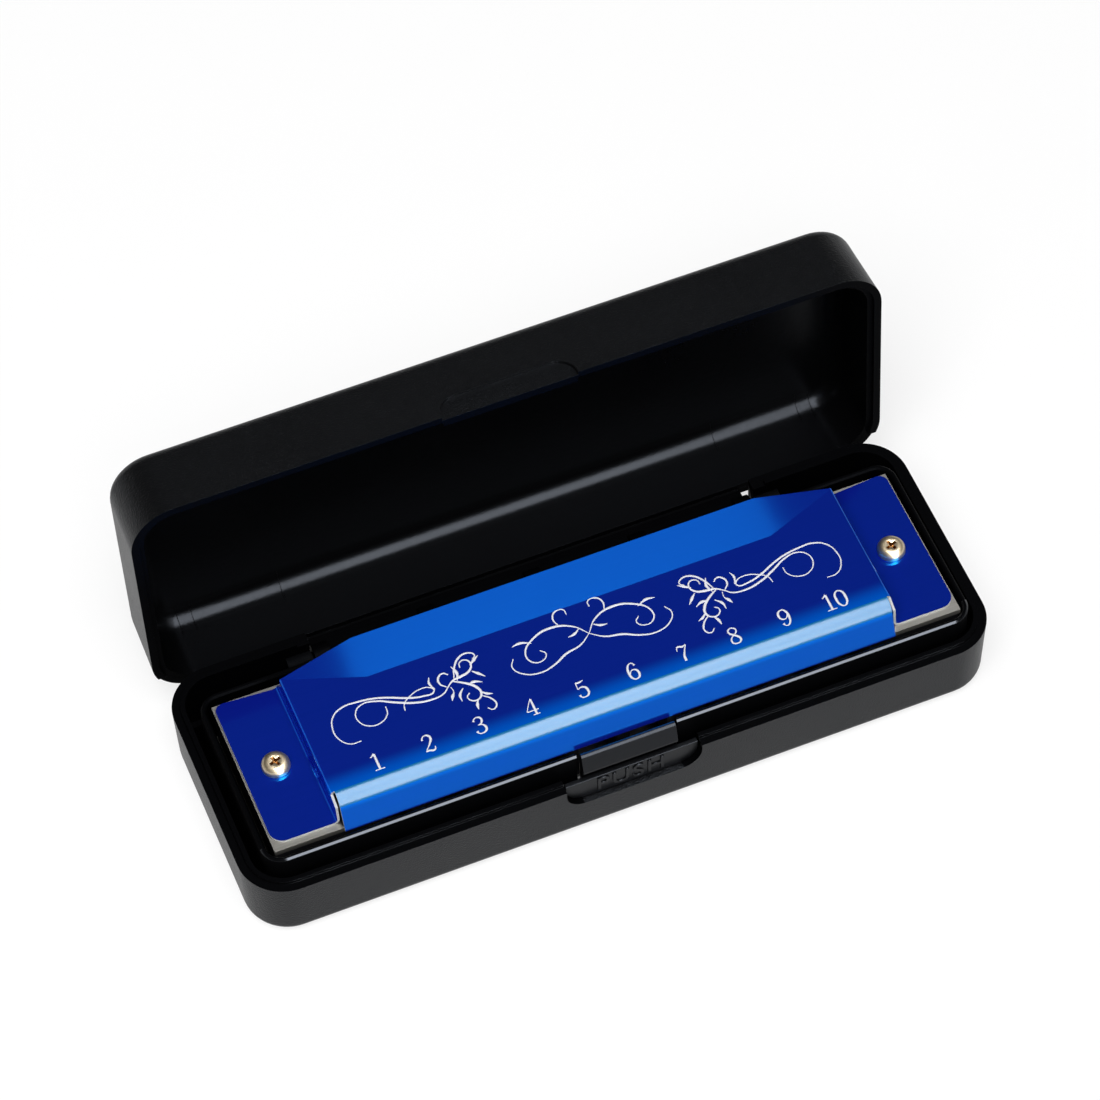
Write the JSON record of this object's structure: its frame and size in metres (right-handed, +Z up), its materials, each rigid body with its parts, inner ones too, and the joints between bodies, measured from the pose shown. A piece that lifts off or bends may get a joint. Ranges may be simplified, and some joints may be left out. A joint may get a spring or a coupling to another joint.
{
  "type": "harmonica case",
  "caption": "Black plastic snap case with a hinged lid and a push latch, open to its stop, holding a blue diatonic harmonica.",
  "frame": {"origin": "centre of the flat underside of the case's base", "axes": "+X along the case to the high notes, +Y towards the hinge, +Z up"},
  "size_m": [0.1106, 0.0546, 0.0435],
  "materials": {
    "case_plastic": "satin, fine texture outside, smooth inside",
    "comb_plastic": "satin",
    "reed_plate": "satin nickel",
    "reed_brass": "brushed",
    "cover_metal": "metallic gloss blue",
    "screw_metal": "polished"
  },
  "bodies": {
    "base": {"base_shell": "case_plastic"},
    "lid": {"lid_shell": "case_plastic"},
    "latch": {"latch_tongue": "case_plastic"},
    "harmonica": {"comb": "comb_plastic", "reed_plate_upper": "reed_plate", "reed_plate_lower": "reed_plate", "reed_upper_01": "reed_brass", "reed_upper_02": "reed_brass", "reed_upper_03": "reed_brass", "reed_upper_04": "reed_brass", "reed_upper_05": "reed_brass", "reed_upper_06": "reed_brass", "reed_upper_07": "reed_brass", "reed_upper_08": "reed_brass", "reed_upper_09": "reed_brass", "reed_upper_10": "reed_brass", "reed_lower_01": "reed_brass", "reed_lower_02": "reed_brass", "reed_lower_03": "reed_brass", "reed_lower_04": "reed_brass", "reed_lower_05": "reed_brass", "reed_lower_06": "reed_brass", "reed_lower_07": "reed_brass", "reed_lower_08": "reed_brass", "reed_lower_09": "reed_brass", "reed_lower_10": "reed_brass", "rivets_upper": "reed_brass", "rivets_lower": "reed_brass", "plate_nails_upper": "screw_metal", "plate_nails_lower": "screw_metal", "cover_upper": "cover_metal", "cover_lower": "cover_metal", "cover_screws": "screw_metal", "cover_nuts": "screw_metal"}
  },
  "joints": [
    {"name": "lid_hinge", "type": "hinge", "parent": "base", "child": "lid", "pos_m": [0, 0.01733, 0.00706], "axis": [1, 0, 0], "range_deg": [0, 93.5]},
    {"name": "latch_push", "type": "hinge", "parent": "base", "child": "latch", "pos_m": [0, -0.01695, 0.00155], "axis": [-1, 0, 0], "range_deg": [0, 3.4], "stiffness_Nm_per_rad": 0.25, "springref_deg": -1.72},
    {"name": "harmonica_lift", "type": "slide", "parent": "base", "child": "harmonica", "axis": [0, 0, 1], "range_m": [0, 0.045]}
  ]
}
